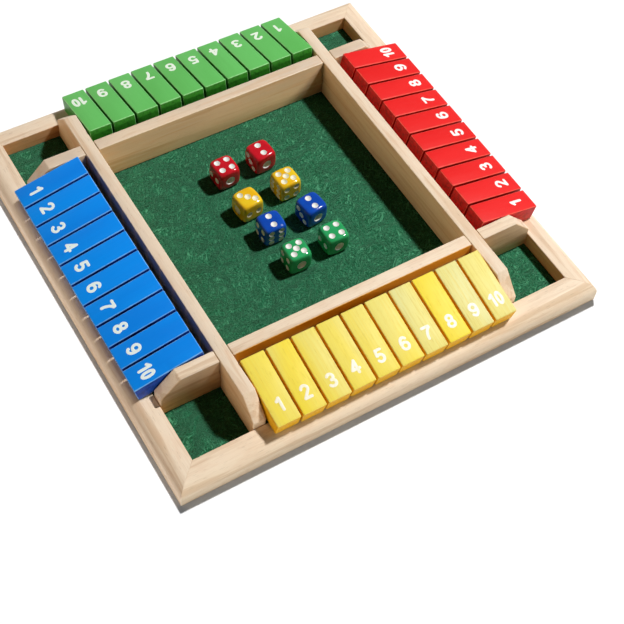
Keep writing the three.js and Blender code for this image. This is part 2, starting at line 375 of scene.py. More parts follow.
def pale_wood(name, half_sizes, light=WOOD_LIGHT, dark=WOOD_DARK, roughness=0.42, yellow_bounce=None,
              inner_shade_tint=None):
    """Sanded pale wood under a thin satin lacquer. Its broad side faces, or a rail's inner face, are browner
    as painted shade, and its edges lighter as wear and painted highlight.
    """
    look = Look(name)
    late, fibres, pores, tone = board_grain(look)
    heart = look.pattern("grain", (0.009, 0.13, 0.18), roughness=0.6)
    mottle = look.pattern("grain", (0.06, 0.16, 0.16), roughness=0.65)
    colour = look.layers(
        tinted(light, DULL_TINT),
        (look.attribute("paleness", "Fac"), light),
        (look.span(tone, 0.35, 0.7, 0.0, 0.8), tinted(light, COOL_TINT)),
        (look.span(heart, 0.52, 0.62, 0.0, 0.5), dark),
        (look.span(mottle, 0.45, 0.7, 0.0, 0.3), tinted(light, RED_TINT)),
        (look.times(late, 0.28), dark),
        (look.span(fibres, 0.45, 0.75, 0.0, 0.26), dark),
        (look.times(pores, 0.35), tinted(dark, PORE_TINT)))
    from_face, _, edge = depths(look, half_sizes)
    # Painted shade: a rail's inner face, or else a board's broad side faces, are tinted browner
    if inner_shade_tint:
        colour = look.mix(inner_face(look, half_sizes), colour, inner_shade_tint, "MULTIPLY")
    else:
        colour = look.mix(look.span(from_face, 0.7, 0.2), colour, SIDE_SHADE_TINT, "MULTIPLY")
    # Edges lightened by wear and painted highlight
    colour = look.mix(edge_wear(look, edge, depth=0.6, strength=0.5), colour, WORN_AND_HIGHLIT_WOOD)
    # Painted yellow bounce light and shade on the front divider's outer face
    if yellow_bounce:
        colour = look.mix(rub_mask(look, half_sizes), colour, yellow_bounce)
    look.bump(look.math("SUBTRACT", look.times(fibres, 0.5), pores), 0.05)
    return look.finished(colour, fibres, roughness, roughness + 0.12, specular=0.2)


def inner_face(look, half_sizes):
    """Where a rail faces into the tray"""
    _, y, _ = look.parts(look.attribute("local"))
    return look.span(y, half_sizes[1] - 0.7, half_sizes[1] - 0.2)


def rub_mask(look, half_sizes):
    """The strip near the top of a divider's outer face, along the middle of the row, where painted yellow
    bounce light and shade are laid
    """
    x, y, z = look.parts(look.attribute("local"))
    outer = look.span(y, 0.6 - half_sizes[1], 0.1 - half_sizes[1])
    upper = look.span(z, half_sizes[2] - 13.0, half_sizes[2] - 6.0, 0.0, 0.9)
    row = look.span(look.math("ABSOLUTE", x), half_sizes[0] * 0.64, half_sizes[0] * 0.62)
    return look.times(row, look.times(outer, upper))


def tile_paint(name, half_sizes, colour, deep, side, worn_and_highlit, grain_shows):
    """Paint over a wooden tile: a little uneven, darker on the sides as painted shade, and lighter along the
    edges as thin paint and painted highlight
    """
    look = Look(name)
    late, fibres, pores, tone = board_grain(look, ring_gap=2.8)
    blotches = look.pattern("grain", (0.25, 0.45, 0.45), roughness=0.7)
    _, from_top, edge = depths(look, half_sizes)
    body = look.layers(
        colour,
        (look.span(tone, 0.35, 0.68), deep),
        (look.times(late, grain_shows), deep),
        (look.span(fibres, 0.5, 0.8, 0.0, grain_shows), deep),
        # Painted shade: the sides take a darker tone, blotched like end grain
        (look.span(from_top, 0.15, 0.75),
         look.mix(look.span(blotches, 0.42, 0.7), side, tinted(side, BLOTCH_TINT))),
        # Edges lightened by worn paint and painted highlight
        (edge_wear(look, edge, depth=0.62, strength=0.75), worn_and_highlit))
    look.bump(look.times(look.math("SUBTRACT", fibres, pores), 0.6), 0.035)
    return look.finished(body, fibres, 0.36, 0.48, specular=0.22)


def stained_yellow(name, half_sizes):
    """Yellow stain on a wooden tile: the grain shows through, and each tile takes it differently"""
    look = Look(name)
    late, fibres, pores, tone = board_grain(look, ring_gap=2.2)
    paleness = look.attribute("paleness", "Fac")
    _, from_top, edge = depths(look, half_sizes)
    body = look.layers(
        YELLOW_DEEP,
        (look.math("ADD", paleness, look.span(tone, 0.3, 0.7, -0.3, 0.3), clamp=True), YELLOW_PALE),
        (look.times(look.span(fibres, 0.48, 0.7), look.span(paleness, 0.0, 1.0, 0.15, 0.5)), YELLOW_STREAK),
        (look.times(late, 0.22), YELLOW_RING),
        (look.times(pores, 0.35), YELLOW_PORE),
        # Painted shade: the sides take two darker orange tones
        (look.span(from_top, 0.15, 0.75), look.mix(look.span(fibres, 0.35, 0.7), *YELLOW_SHADED_SIDES)),
        # Edges lightened by worn stain and painted highlight
        (edge_wear(look, edge, depth=0.45, strength=0.5), YELLOW_WORN_AND_HIGHLIT))
    look.bump(look.math("SUBTRACT", look.times(fibres, 0.7), pores), 0.05)
    return look.finished(body, fibres, 0.4, 0.52, specular=0.22)


def number_paint(name, full, thin, coverage):
    """White number paint that lets a little of the tile through where it is thin"""
    look = Look(name)
    patches = look.pattern("grain", (0.5, 0.9, 0.9))
    look.bump(look.pattern("grain", (1.2, 3.0, 3.0), detail=2), 0.02)
    colour = look.mix(look.span(patches, 0.45, 0.75, 0.0, 1.0 - coverage), full, thin)
    return look.finished(colour, patches, 0.38, 0.5)


def green_felt():
    """Short napped felt: mottled dark green with paler fibres lying in tufts"""
    look = Look("green_felt")
    clouds = look.pattern("grain", (0.05, 0.05, 1))
    fuzz = look.pattern("grain", (0.75, 0.75, 1), roughness=0.75)
    bend = look.pattern("grain", (0.07, 0.07, 0.07), detail=1)
    colour = look.layers(
        look.mix(look.span(clouds, 0.35, 0.65), *FELT_GROUND),
        (look.span(fuzz, 0.53, 0.37, 0.0, 0.75), FELT_SHADE),
        (look.span(fuzz, 0.5, 0.64, 0.0, 0.65), FELT_FUZZ))
    height = fuzz
    for direction, shift, strength in FELT_STRANDS:
        fleck = strands(look, bend, direction, shift)
        colour = look.mix(look.times(fleck, strength), colour, FELT_STRAND)
        height = look.math("ADD", height, look.times(fleck, 0.5))
    look.bump(height, 0.35)
    look.shader(Base_Color=colour, Roughness=0.95, Sheen_Weight=0.08, Sheen_Roughness=0.5)
    look.shader(Specular_IOR_Level=0.1)
    return look.material


def strands(look, bend, direction, shift):
    """Where loose fibres lie in one direction, which bends a little from place to place"""
    rotation = look.node("ShaderNodeVectorRotate", rotation_type="Z_AXIS")
    angles = [math.radians(-direction + bent) for bent in (-STRAND_BEND, STRAND_BEND)]
    look.feed(rotation.inputs["Vector"], look.vector("ADD", look.attribute("grain"), (shift, shift, 0)))
    look.feed(rotation.inputs["Angle"], look.span(bend, 0.3, 0.7, *angles))
    fibres = look.noise(look.scaled(rotation.outputs[0], (0.2, 1.15, 1)), detail=0)
    tufts = look.noise(look.scaled(rotation.outputs[0], (0.15, 0.25, 1)), detail=1)
    return look.times(look.span(fibres, 0.6, 0.68), look.span(tufts, 0.44, 0.58))


def dice_plastic(name, colour, shade):
    """Polished plastic with faint handling marks"""
    look = Look(name)
    cloud = look.pattern("local", (0.12, 0.12, 0.12), detail=2)
    rubs = look.pattern("local", (0.9, 0.9, 0.9), detail=4, roughness=0.7)
    look.bump(rubs, 0.012)
    look.shader(Base_Color=look.mix(look.span(cloud, 0.35, 0.65), colour, shade))
    look.shader(Roughness=look.span(rubs, 0.35, 0.7, 0.06, 0.12), Coat_Weight=0.3, Coat_Roughness=0.04)
    return look.material


def pip_paint(name, full, thin):
    """White paint in a die's pips"""
    look = Look(name)
    patches = look.pattern("local", (0.8, 0.8, 0.8))
    look.bump(patches, 0.03)
    return look.finished(look.mix(look.span(patches, 0.4, 0.75), full, thin), patches, 0.35, 0.5)


def drawn_steel():
    """Bare steel rod with fine lines along it"""
    look = Look("rod_steel")
    lines = look.pattern("grain", (0.05, 4.0, 4.0))
    look.bump(lines, 0.01)
    look.shader(Metallic=1.0)
    colour = look.mix(look.span(lines, 0.3, 0.7), *STEEL_TONES)
    return look.finished(colour, lines, 0.28, 0.42)


# Meshes

def mesh_from(name, points, faces):
    mesh = bpy.data.meshes.new(name)
    mesh.from_pydata([tuple(p) for p in points], [], faces)
    mesh.update()
    return mesh


def mesh_of(bm, name):
    """A mesh from a bmesh, its faces turned outwards"""
    mesh = bpy.data.meshes.new(name)
    bmesh.ops.recalc_face_normals(bm, faces=bm.faces)
    bm.to_mesh(mesh)
    bm.free()
    return mesh


def block(size, centre=(0, 0, 0)):
    """A box with sharp edges"""
    bm = bmesh.new()
    bmesh.ops.create_cube(bm, size=1.0)
    bmesh.ops.scale(bm, vec=size, verts=bm.verts)
    bmesh.ops.translate(bm, vec=centre, verts=bm.verts)
    return bm


def eased(bm, width, segments, edges=None):
    """Rounds all edges, or the given ones"""
    bmesh.ops.bevel(bm, geom=list(edges or bm.edges), offset=width, segments=segments, profile=0.5,
                    affect="EDGES", clamp_overlap=True)


def prism(outline, thickness):
    """A solid whose outline (x, z) is drawn at y = -thickness / 2 and pushed through to +thickness / 2"""
    bm = bmesh.new()
    face = bm.faces.new([bm.verts.new((x, -thickness / 2, z)) for x, z in outline])
    pushed = bmesh.ops.extrude_face_region(bm, geom=[face])["geom"]
    corners = [g for g in pushed if isinstance(g, bmesh.types.BMVert)]
    bmesh.ops.translate(bm, verts=corners, vec=(0, thickness, 0))
    bmesh.ops.recalc_face_normals(bm, faces=bm.faces)
    return bm


def cylinder(radius, length, axis, sides=32):
    """A closed cylinder centred on the origin, along x or y"""
    bm = bmesh.new()
    bmesh.ops.create_cone(bm, cap_ends=True, segments=sides, radius1=radius, radius2=radius, depth=length)
    turns = {"x": Matrix.Rotation(QUARTER, 4, "Y"), "y": Matrix.Rotation(QUARTER, 4, "X")}
    bmesh.ops.transform(bm, matrix=turns[axis], verts=bm.verts)
    return mesh_of(bm, "cylinder")


def carved(mesh, tools):
    """A mesh with the tools cut out of it. The cut surface keeps the tools' material."""
    bm = bmesh.new()
    for tool in tools:
        bm.from_mesh(tool)
    joined = mesh_of(bm, "tools")
    for material in tools[0].materials:
        joined.materials.append(material)
    body, cutter = placed("carving", mesh), placed("cutter", joined)
    cut = body.modifiers.new("cut", "BOOLEAN")
    cut.operation = "DIFFERENCE"
    cut.solver = "EXACT"
    cut.material_mode = "TRANSFER"
    cut.object = cutter
    result = bpy.data.meshes.new_from_object(body.evaluated_get(bpy.context.evaluated_depsgraph_get()))
    for thing in (body, cutter):
        bpy.data.objects.remove(thing)
    return result


def smoothed(mesh, degrees=32):
    """Smooth shading that stays sharp at edges above this angle"""
    mesh.polygons.foreach_set("use_smooth", [True] * len(mesh.polygons))
    mesh.set_sharp_from_angle(angle=math.radians(degrees))
    return mesh


def add_piece(name, mesh, place, body, materials, nodes=(), seed=0, centre=(0, 0, 0), paleness=1.0):
    """Puts a mesh drawn in its own frame, x along the grain, at its place and ties it to its body.
    Its points keep their place in mm, from its centre and from a random spot in the wood."""
    pale = mesh.attributes.new("paleness", "FLOAT", "POINT")
    pale.data.foreach_set("value", np.full(len(mesh.vertices), paleness, np.float32))
    own = np.array([vertex.co for vertex in mesh.vertices])
    spot = np.random.default_rng(seed).uniform(*WOOD_SPOTS)
    for layer, values in (("local", (own - np.array(tuple(centre))) / MM), ("grain", own / MM + spot)):
        vectors = mesh.attributes.new(layer, "FLOAT_VECTOR", "POINT")
        vectors.data.foreach_set("vector", values.astype(np.float32).ravel())
    mesh.transform(place)
    mesh.name = name
    while len(mesh.materials) < len(materials):
        mesh.materials.append(None)
    for index, material in enumerate(materials):
        mesh.materials[index] = material
    piece = placed(name, mesh)
    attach(piece, body)
    if nodes:
        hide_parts(*nodes)
    return piece


# What the frame says

def turned(quarter_turns):
    """A turn about Z"""
    return Matrix.Rotation(quarter_turns * QUARTER, 4, "Z")


def node_points(node, matrix=Matrix()):
    """A CAD node's vertices, taken into another frame"""
    return np.array([matrix @ v.co for v in frame["nodes"][node].data.vertices])


def extent(points):
    """The lowest and highest corner of the box round them"""
    return np.min(points, axis=0), np.max(points, axis=0)


# Tray

def arc(x, z, radius, start, end, steps):
    """Points of a circular arc, angles in degrees"""
    angles = [math.radians(start + (end - start) * i / steps) for i in range(steps + 1)]
    return [(x + radius * math.cos(a), z + radius * math.sin(a)) for a in angles]


def rail_section(points):
    """The rail's outline (out, up) from the CAD ring's own sizes, with finer roundings"""
    same = SAME_PLACE * MM
    reach = np.abs(points[:, :2]).max(axis=1)
    height = points[:, 2].max()
    outer, inner = reach.max(), reach.min()
    crown = outer - reach[points[:, 2] > height - same].max()
    rebate_out = reach[points[:, 2] < same].min()
    rebate_top = points[np.abs(reach - inner) < same][:, 2].min()
    foot, ease = RAIL_FOOT_EASE * MM, RAIL_INNER_EASE * MM
    outline = [(outer - foot, 0.0)]
    outline += arc(outer - foot, foot, foot, -90, 0, 4)[1:]
    outline += arc(outer - crown, height - crown, crown, 0, 90, 14)
    outline += arc(inner + ease, height - ease, ease, 90, 180, 4)
    outline += [(inner, rebate_top), (rebate_out, rebate_top), (rebate_out, 0.0)]
    return outline


def inset(outline, distance):
    """A closed outline moved inwards, each corner along its own bisector"""
    corners = [Vector(point) for point in outline]
    moved = []
    for before, corner, after in zip(corners[-1:] + corners[:-1], corners, corners[1:] + corners[:1]):
        along = (corner - before).normalized() + (after - corner).normalized()
        moved.append(tuple(corner + Vector((-along.y, along.x)).normalized() * distance))
    return moved


def rail_mesh(outline):
    """One rail along x, mitred at both ends, its ends eased so that the joint shows as a fine line"""
    ease, gap = MITRE_EASE * MM, MITRE_GAP * MM
    small = inset(outline, ease * MITRE_EASE_SHARE)
    ends = ((-1, small, gap), (-1, outline, gap + ease), (1, outline, gap + ease), (1, small, gap))
    points = [(side * (out - back), -at_out, up) for side, ring, back in ends
              for (out, _), (at_out, up) in zip(outline, ring)]
    here = np.arange(len(points)).reshape(len(ends), -1)
    after = np.roll(here, -1, axis=1)
    walls = np.stack((here[:-1], after[:-1], after[1:], here[1:]), axis=-1).reshape(-1, 4)
    faces = walls.tolist() + [here[0, ::-1].tolist(), here[-1].tolist()]
    bm = bmesh.new()
    bm.from_mesh(mesh_from("rail", points, faces))
    return mesh_of(bm, "rail")


def add_rails():
    """Four mitred rails, of which the front one stands for the CAD ring"""
    outline = rail_section(node_points("rail_frame"))
    low, high = extent(outline)
    middle = (low + high) / 2
    half_sizes = tuple(np.array((high[0], *(high - low) / 2)) / MM)
    # The rails' inner faces take painted shade
    wood = pale_wood("rail_wood", half_sizes, inner_shade_tint=INNER_RAIL_SHADE_TINT)
    for index, (side, _, turns) in enumerate(ROWS):
        mesh = smoothed(rail_mesh(outline), degrees=25)
        nodes = ("rail_frame",) if side == "front" else ()
        add_piece(f"{side}_rail", mesh, turned(turns), "tray", [wood], nodes, seed=index,
                  centre=(0, -middle[0], middle[1]), paleness=BOARD_PALENESS.get(f"{side}_rail", 1.0))


def divider_outline(low, high, shoulder, slots_above):
    """Outline (x, z) of a divider with two halving slots, its upper corners cut off at 45 degrees"""
    offset, middle = -(low[1] + high[1]) / 2, (low[2] + high[2]) / 2
    slot_half = (high[1] - low[1]) / 2 + CLEARANCE * MM
    mouth = high[2] if slots_above else low[2]
    slots = []
    for centre in (-offset, offset):
        left, right = centre - slot_half, centre + slot_half
        slots += [(left, mouth), (left, middle), (right, middle), (right, mouth)]
    lower, upper = ([], slots[::-1]) if slots_above else (slots, [])
    chamfer = high[2] - shoulder
    return [(low[0], low[2]), *lower, (high[0], low[2]), (high[0], shoulder), (high[0] - chamfer, high[2]),
            *upper, (low[0] + chamfer, high[2]), (low[0], shoulder)]


def rod_bore(rod, offset, thickness):
    """The blind bore for a rod's end, in the inner face of a divider that stands at this offset"""
    low, high = extent(rod)
    centre = (low + high) / 2
    radius = (high[2] - low[2]) / 2 + CLEARANCE * MM
    reach = np.abs(rod[:, 1]).max() + CLEARANCE * MM
    depth = reach - (offset - thickness / 2)
    bore = cylinder(radius, 2 * depth, "y")
    bore.transform(Matrix.Translation((centre[0], thickness / 2, centre[2])))
    return bore


def add_dividers():
    """Four boards, halved where they cross, with bores for the ends of the rods. Returns them by side."""
    low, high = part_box("front_divider")
    half_sizes = tuple((high - low) / 2 / MM)
    plain = pale_wood("divider_wood", half_sizes)
    # The front divider's wood takes painted yellow bounce light and shade on its outer face
    bounce_painted_wood = pale_wood("front_divider_wood", half_sizes, yellow_bounce=PAINTED_YELLOW_BOUNCE)
    boards = {}
    for index, (side, _, turns) in enumerate(ROWS):
        home = turned(-turns)
        points = node_points(f"{side}_divider", home)
        low, high = extent(points)
        middle = (low + high) / 2
        thickness = high[1] - low[1]
        shoulder = points[points[:, 0] > high[0] - SHOULDER_BAND * MM][:, 2].max()
        bm = prism(divider_outline(low, high, shoulder, slots_above=side in ("front", "back")), thickness)
        eased(bm, DIVIDER_EASE * MM, segments=3)
        rods = [node_points(f"{s}_rod", home) for s, _, t in ROWS if (t - turns) % 2]
        mesh = carved(mesh_of(bm, "divider"), [rod_bore(rod, -middle[1], thickness) for rod in rods])
        name = f"{side}_divider"
        boards[side] = add_piece(
            f"{name}_board", smoothed(mesh), turned(turns) @ Matrix.Translation((0, middle[1], 0)), "tray",
            [bounce_painted_wood if side == "front" else plain], (name,), seed=DIVIDER_SEED + index,
            centre=(0, 0, middle[2]), paleness=BOARD_PALENESS.get(name, 1.0))
    return boards


def add_rods(steel):
    """The rods that the tiles turn on"""
    for index, (side, _, turns) in enumerate(ROWS):
        low, high = extent(node_points(f"{side}_rod", turned(-turns)))
        bm = bmesh.new()
        bm.from_mesh(cylinder((high[2] - low[2]) / 2, high[0] - low[0], "x"))
        rims = [e for e in bm.edges if e.calc_face_angle() > 1]
        eased(bm, ROD_EASE * MM, segments=2, edges=rims)
        place = turned(turns) @ Matrix.Translation((low + high) / 2)
        add_piece(f"{side}_rod_steel", smoothed(mesh_of(bm, "rod")), place, "tray", [steel],
                  (f"{side}_rod",), seed=ROD_SEED + index)


def add_base():
    """The thin board under the felt"""
    low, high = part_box("base_board")
    size = high - low
    wood = pale_wood("base_wood", tuple(size / 2 / MM), BASE_LIGHT, BASE_DARK, 0.6)
    bm = block(size)
    eased(bm, BASE_EASE * MM, segments=2)
    middle = (low + high) / 2
    add_piece("base_panel", smoothed(mesh_of(bm, "base")), Matrix.Translation(middle), "tray",
              [wood], ("base_board",), seed=BASE_SEED, centre=middle)


def felt_points(low, high):
    """Rows of points on the felt's uneven upper side, and then its four lower corners"""
    top = high.z - FELT_NAP * MM
    points = []
    for y in np.linspace(low.y, high.y, FELT_CELLS + 1):
        for x in np.linspace(low.x, high.x, FELT_CELLS + 1):
            at = Vector((x, y, 0)) / MM
            rise = sum(noise.noise(at * waves) * height for waves, height in FELT_WAVES)
            points.append((x, y, top + rise * MM))
    corners = ((low.x, low.y), (high.x, low.y), (high.x, high.y), (low.x, high.y))
    return points + [(x, y, low.z) for x, y in corners]


def felt_faces():
    """Square cells on top, then one face below and one along each side"""
    row = FELT_CELLS + 1
    grid = np.arange(row * row).reshape(row, row)
    cells = np.stack((grid[:-1, :-1], grid[:-1, 1:], grid[1:, 1:], grid[1:, :-1]), axis=-1)
    a, b, c, d = range(row * row, row * row + 4)
    rims = ((grid[0], a, b), (grid[:, -1], b, c), (grid[-1, ::-1], c, d), (grid[::-1, 0], d, a))
    sides = [(first, last, *rim[::-1].tolist()) for rim, first, last in rims]
    return cells.reshape(-1, 4).tolist() + [(a, d, c, b)] + sides


def add_felt(felt):
    """One sheet of felt glued to the base, its nap a little uneven"""
    low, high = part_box("felt_lining")
    mesh = mesh_from("felt", felt_points(low, high), felt_faces())
    top_faces = FELT_CELLS ** 2
    mesh.polygons.foreach_set("use_smooth", [i < top_faces for i in range(len(mesh.polygons))])
    piece = add_piece("felt_sheet", mesh, Matrix(), "tray", [felt], ("felt_lining",),
                      seed=FELT_SEED)
    return piece


# Numbers

def line(*points):
    """Points along straight strokes, close enough together for a smooth outline"""
    found = []
    for (x0, y0), (x1, y1) in zip(points, points[1:]):
        steps = max(2, int(math.hypot(x1 - x0, y1 - y0) / 0.01))
        found += [(x0 + (x1 - x0) * i / steps, y0 + (y1 - y0) * i / steps) for i in range(steps + 1)]
    return found


def curve(x, y, wide, tall, start, end):
    """Points along part of an ellipse, angles in degrees"""
    angles = np.radians(np.linspace(start, end, 60))
    return [(x + wide * math.cos(a), y + tall * math.sin(a)) for a in angles]


def digit_strokes(digit):
    """The middle lines of a digit's strokes, in a box one unit high, with its width"""
    r = DIGIT_STROKE_SHARE / 2
    top, left, right = 1 - r, r, 0.66 - r
    middle = (left + right) / 2
    bowl = (right - left) / 2
    hook = curve(middle, 0.685, bowl * 0.96, 0.215, 168, -38)
    flag = line((right - 0.03, top), (left + 0.09, top), (left + 0.045, 0.535))
    upper_three = curve(middle - 0.02, 0.705, bowl * 0.86, 0.195, 150, -88)
    stem = curve(middle + 0.02, 0.5, bowl + 0.02, 0.5 - r, 48, 190)
    six = stem + curve(middle, 0.335, bowl, 0.235, 0, 360)
    digits = (
        (curve(0.26, 0.5, 0.26 - r, 0.5 - r, 0, 360), 0.52),
        (line((r + 0.01, 0.72), (0.31, top), (0.31, r)), 0.42),
        (hook + line(hook[-1], (left + 0.02, r), (right, r)), 0.66),
        (upper_three + curve(middle - 0.02, 0.305, bowl, 0.205, 88, -152), 0.64),
        (line((0.45, r), (0.45, top), (left, 0.34), (right + 0.04, 0.34)), 0.7),
        (flag + curve(middle - 0.01, 0.34, bowl, 0.24, 128, -150), 0.65),
        (six, 0.66),
        (line((left, top), (right, top)) + curve(right + 0.29, r + 0.02, 0.62, 0.79, 117, 180), 0.66),
        (curve(middle, 0.705, bowl * 0.82, 0.195, 0, 360) + curve(middle, 0.3, bowl, 0.2, 0, 360), 0.66),
        ([(0.66 - x, 1 - y) for x, y in six], 0.66))
    return digits[digit]


def number_strokes(number):
    """The strokes of a whole number, centred on the origin"""
    points, edge = [], 0.0
    for digit in map(int, str(number)):
        strokes, width = digit_strokes(digit)
        points += [(x + edge, y) for x, y in strokes]
        edge += width + DIGIT_GAP_SHARE
    return np.array(points) - ((edge - DIGIT_GAP_SHARE) / 2, 0.5)


def stroke_field(strokes, half_stroke, cell):
    """A grid of spots over the strokes, and how deep each spot lies inside them, below 0 if outside"""
    low, high = extent(strokes)
    low, high = low - half_stroke - 2 * cell, high + half_stroke + 2 * cell
    counts = np.ceil((high - low) / cell).astype(int)
    xs, ys = (low[k] + cell * np.arange(counts[k] + 1) for k in (0, 1))
    spots = np.stack(np.meshgrid(xs, ys, indexing="ij"), axis=-1)
    gaps = np.full(spots.shape[:2], np.inf)
    for x, y in strokes:
        gaps = np.minimum(gaps, np.hypot(spots[..., 0] - x, spots[..., 1] - y))
    return spots, half_stroke - gaps


def filled_outline(spots, depth):
    """Points (x, y, depth) and polygons that fill the strokes, cell by cell, up to their outline"""
    points, index, polygons = [], {}, []

    def vertex(first, second=None):
        """The point at a spot, or where the outline passes between two spots"""
        key = (first, second)
        if key not in index:
            place, level = spots[first], max(depth[first], 0.0)
            if second is not None:
                share = depth[first] / (depth[first] - depth[second])
                place, level = place + (spots[second] - place) * share, 0.0
            index[key] = len(points)
            points.append((place[0], place[1], level))
        return index[key]

    for i, j in np.ndindex(depth.shape[0] - 1, depth.shape[1] - 1):
        corners = [(i, j), (i + 1, j), (i + 1, j + 1), (i, j + 1)]
        polygon = []
        for here, there in zip(corners, corners[1:] + corners[:1]):
            if depth[here] > 0:
                polygon.append(vertex(here))
            if (depth[here] > 0) != (depth[there] > 0):
                inside, outside = (here, there) if depth[here] > 0 else (there, here)
                polygon.append(vertex(inside, outside))
        if len(polygon) > 2:
            polygons.append(polygon)
    return points, polygons


def number_mesh(number, height):
    """A closed low relief in the shape of a number, in metres: x across, y up the number, z off the face"""
    half_stroke = DIGIT_STROKE_SHARE * height / 2
    spots, depth = stroke_field(number_strokes(number) * height, half_stroke, DIGIT_CELL * MM)
    points, polygons = filled_outline(spots, depth)
    soft, relief = DIGIT_SOFT_EDGE * MM, DIGIT_RELIEF * MM
    upper = [(x, y, relief * math.sin(QUARTER * min(level / soft, 1))) for x, y, level in points]
    lower = [(x, y, -DIGIT_BACK * MM) for x, y, _ in points]
    count = len(points)
    sides = {(a, b) for polygon in polygons for a, b in zip(polygon, polygon[1:] + polygon[:1])}
    walls = [(b, a, a + count, b + count) for a, b in sides if (b, a) not in sides]
    faces = polygons + [[v + count for v in reversed(p)] for p in polygons] + walls
    return mesh_from("number", upper + lower, faces)


# Tiles

def tile_frame(node, joint):
    """The tile's own frame from its CAD node: x out along it, z off the numbered face, origin on its rod"""
    polygons = frame["nodes"][node].data.polygons
    up = max((p for p in polygons if p.normal.z > 0.5), key=lambda p: p.area).normal.normalized()
    across = -Vector(joint["axis"])
    axes = Matrix((across.cross(up), across, up)).transposed().to_4x4()
    return Matrix.Translation(Vector(joint["pos_m"])) @ axes


def tile_mesh(low, high, bore_radius, rng):
    """A block with rounded edges and the rod's bore through it, each one cut a hair differently"""
    trim = rng.uniform(0, 1, 3) * TILE_TRIM * MM
    low = low + (0, trim[1], 0)
    high = high - trim
    bm = block(high - low, (low + high) / 2)
    eased(bm, TILE_EASE * MM, segments=4)
    bore = cylinder(bore_radius, (high[1] - low[1]) * 1.2, "y")
    return carved(mesh_of(bm, "tile"), [bore]), low, high


def tile_number(number, end, middle, top, rng):
    """A number's relief near the outer end of a tile's face, a little off its exact place"""
    slip = rng.uniform(-DIGIT_SLIP, DIGIT_SLIP, 2) * MM
    figure = number_mesh(number, DIGIT_HEIGHT * MM)
    spot = Matrix.Translation((end - DIGIT_FROM_END * MM + slip[0], middle + slip[1], top))
    figure.transform(spot @ turned(1))
    return smoothed(figure, degrees=60)


def add_tiles(paints, numbers, joints):
    """All tiles and their numbers. Returns the tiles."""
    rod_low, rod_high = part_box("front_rod")
    bore_radius = (rod_high.z - rod_low.z) / 2 + CLEARANCE * MM
    tiles = []
    for row, (_, colour, _) in enumerate(ROWS):
        for number in range(1, TILES_PER_ROW + 1):
            node = f"tile_{colour}_{number}"
            seed = TILE_SEED + row * TILES_PER_ROW + number
            rng = np.random.default_rng(seed)
            place = tile_frame(node, joints[f"flip_{colour}_{number}"])
            cad_extent = extent(node_points(node, place.inverted()))
            mesh, low, high = tile_mesh(*cad_extent, bore_radius, rng)
            middle = (low + high) / 2
            tile = add_piece(f"{colour}_tile_{number}", smoothed(mesh), place, node,
                             [paints[colour]], (node,), seed, middle,
                             YELLOW_PALENESS[number - 1])
            tiles.append(tile)
            figure = tile_number(number, high[0], middle[1], high[2], rng)
            add_piece(f"{colour}_number_{number}", figure, place, node,
                      [numbers[colour]], seed=seed)
    return tiles


# Dice. As drawn, a die shows 2 on top, 3 on the left and 1 in front. For each number this is the way its
# face looks, and the two directions along it.
X, Y, Z = Vector((1, 0, 0)), Vector((0, 1, 0)), Vector((0, 0, 1))
DIE_SIDES = {2: (Z, Y, X), 5: (-Z, Y, X), 3: (-X, Y, Z), 4: (X, Y, Z), 1: (-Y, X, Z), 6: (Y, X, Z)}


def die_shell(half):
    """A cube with eased edges and ball-cut corners, as a grid on six sides"""
    reach = DIE_CORNER_REACH * MM
    bm = bmesh.new()
    steps = np.tan(np.linspace(-math.pi / 4, math.pi / 4, DIE_CELLS + 1))
    for axis in range(3):
        for sign in (-1.0, 1.0):
            grid = []
            for a in steps:
                grid.append([])
                for b in steps:
                    ray = np.roll((sign, a, b), axis)
                    ray /= np.linalg.norm(ray)
                    total = (np.abs(ray / half) ** DIE_POWER).sum() + reach ** -DIE_POWER
                    grid[-1].append(bm.verts.new(ray * total ** (-1 / DIE_POWER)))
            for i, j in np.ndindex(DIE_CELLS, DIE_CELLS):
                bm.faces.new((grid[i][j], grid[i + 1][j], grid[i + 1][j + 1], grid[i][j + 1]))
    bmesh.ops.remove_doubles(bm, verts=bm.verts, dist=0.001 * MM)
    return mesh_of(bm, "die")


def pip_tools(half, white):
    """Balls that dimple the faces"""
    reach = PIP_REACH
    corners = [(a * reach, b * reach) for a in (-1, 1) for b in (-1, 1)]
    spots = {
        1: [(0, 0)],
        2: [(-reach, 0), (reach, 0)],
        3: [(reach, reach), (0, 0), (-reach, -reach)],
        4: corners,
        5: corners + [(0, 0)],
        6: [(a * reach, b * SIX_PITCH) for a in (-1, 1) for b in (-1, 0, 1)],
    }
    tools = []
    for number, (out, along, across) in DIE_SIDES.items():
        radius, depth = (ACE_RADIUS, ACE_DEPTH) if number == 1 else (PIP_RADIUS, PIP_DEPTH)
        ball = (radius ** 2 + depth ** 2) / (2 * depth)
        for a, b in spots[number]:
            bm = bmesh.new()
            bmesh.ops.create_icosphere(bm, subdivisions=4, radius=ball * MM)
            centre = out * (half + (ball - depth) * MM) + (along * a + across * b) * MM
            bmesh.ops.translate(bm, vec=centre, verts=bm.verts)
            mesh = mesh_of(bm, "pip")
            mesh.materials.append(white)
            tools.append(mesh)
    return tools


def die_turn(faces):
    """The rotation from the die as drawn to one that shows these numbers on top, left and front"""
    drawn = Matrix([DIE_SIDES[number][0] for number in faces]).transposed()
    shown = Matrix((Z, -X, -Y)).transposed()
    return (shown @ drawn.inverted()).to_4x4()


def die_yaw(node):
    """How far a CAD die is turned about Z. The fourth power brings its four upright faces together."""
    total = 0j
    for face in frame["nodes"][node].data.polygons:
        if abs(face.normal.z) < 0.01:
            facing = complex(face.normal.x, face.normal.y)
            total += face.area * (facing / abs(facing)) ** 4
    return math.atan2(total.imag, total.real) / 4


